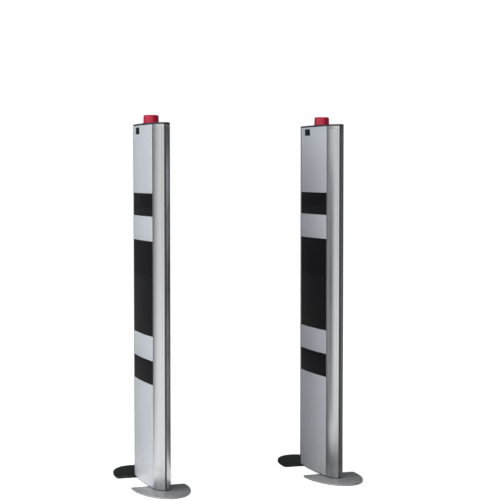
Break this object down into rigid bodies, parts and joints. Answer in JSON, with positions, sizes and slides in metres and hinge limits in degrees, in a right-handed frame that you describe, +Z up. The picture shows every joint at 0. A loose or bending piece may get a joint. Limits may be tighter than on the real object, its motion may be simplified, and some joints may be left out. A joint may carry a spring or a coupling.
{
  "type": "security gate",
  "caption": "Walk-through retail security gate: parallel free-standing antenna pedestals on floor plates, each with gloss bands, a top cap and an alarm lamp with a twist-off lens.",
  "frame": {"origin": "on the floor, at the centre of the footprint: midway between the two pedestals and midway between the ends of the foot plates, so the columns stand 25 mm nearer the near end", "axes": "+X across the aisle from the left pedestal to the right, +Y through the aisle from the near end to the far end, +Z up"},
  "size_m": [1.06, 0.75, 1.6373],
  "materials": {
    "rail_metal": "satin anodised",
    "bumper_rubber": "matt",
    "silver_shell": "satin silver paint",
    "gloss_black_band": "high gloss",
    "dark_cap": "fine texture",
    "grey_foot": "fine-texture powder coat",
    "black_foot": "fine-texture powder coat",
    "steel_fastener": "zinc plated",
    "dark_window": "gloss, infrared clear",
    "red_lens": "translucent, gloss",
    "circuit_board": "solder mask",
    "coil_board": "laminate",
    "copper_wire": "enamelled copper",
    "zinc_brace": "zinc plated",
    "supply_case": "satin",
    "rocker_plastic": "satin"
  },
  "bodies": {
    "gate": {"left_near_rail": "rail_metal", "left_far_rail": "rail_metal", "left_near_bumper": "bumper_rubber", "left_far_bumper": "bumper_rubber", "left_front_shell": "silver_shell", "left_back_shell": "silver_shell", "left_front_low_band": "gloss_black_band", "left_front_mid_band": "gloss_black_band", "left_front_top_band": "gloss_black_band", "left_back_low_band": "gloss_black_band", "left_back_mid_band": "gloss_black_band", "left_back_top_band": "gloss_black_band", "left_top_cap": "dark_cap", "left_bottom_cap": "dark_cap", "left_near_foot": "grey_foot", "left_far_foot": "black_foot", "left_foot_bolts": "steel_fastener", "left_counter_sensor": "dark_window", "left_lamp_base": "dark_cap", "left_lamp_board": "circuit_board", "left_coil_board": "coil_board", "left_antenna_coil": "copper_wire", "left_lower_brace": "zinc_brace", "left_upper_brace": "zinc_brace", "left_controller_board": "circuit_board", "left_power_supply": "supply_case", "left_cable_grommet": "bumper_rubber", "right_near_rail": "rail_metal", "right_far_rail": "rail_metal", "right_near_bumper": "bumper_rubber", "right_far_bumper": "bumper_rubber", "right_front_shell": "silver_shell", "right_back_shell": "silver_shell", "right_front_low_band": "gloss_black_band", "right_front_mid_band": "gloss_black_band", "right_front_top_band": "gloss_black_band", "right_back_low_band": "gloss_black_band", "right_back_mid_band": "gloss_black_band", "right_back_top_band": "gloss_black_band", "right_top_cap": "dark_cap", "right_bottom_cap": "dark_cap", "right_near_foot": "grey_foot", "right_far_foot": "black_foot", "right_foot_bolts": "steel_fastener", "right_counter_sensor": "dark_window", "right_lamp_base": "dark_cap", "right_lamp_board": "circuit_board", "right_coil_board": "coil_board", "right_antenna_coil": "copper_wire", "right_lower_brace": "zinc_brace", "right_upper_brace": "zinc_brace", "right_controller_board": "circuit_board", "right_power_supply": "supply_case", "right_cable_grommet": "bumper_rubber"},
    "left_lens_body": {"left_lamp_lens": "red_lens"},
    "left_rocker_body": {"left_power_switch": "rocker_plastic"},
    "right_lens_body": {"right_lamp_lens": "red_lens"},
    "right_rocker_body": {"right_power_switch": "rocker_plastic"}
  },
  "joints": [
    {"name": "left_lens_twist", "type": "hinge", "parent": "gate", "child": "left_lens_body", "pos_m": [-0.405, -0.025, 1.6023], "axis": [0, 0, 1], "range_deg": [0, 30]},
    {"name": "left_power_rocker", "type": "hinge", "parent": "gate", "child": "left_rocker_body", "pos_m": [-0.388, 0.045, 0.1855], "axis": [1, 0, 0], "range_deg": [-16, 0]},
    {"name": "right_lens_twist", "type": "hinge", "parent": "gate", "child": "right_lens_body", "pos_m": [0.405, -0.025, 1.6023], "axis": [0, 0, 1], "range_deg": [0, 30]},
    {"name": "right_power_rocker", "type": "hinge", "parent": "gate", "child": "right_rocker_body", "pos_m": [0.422, 0.045, 0.1855], "axis": [1, 0, 0], "range_deg": [-16, 0]}
  ]
}
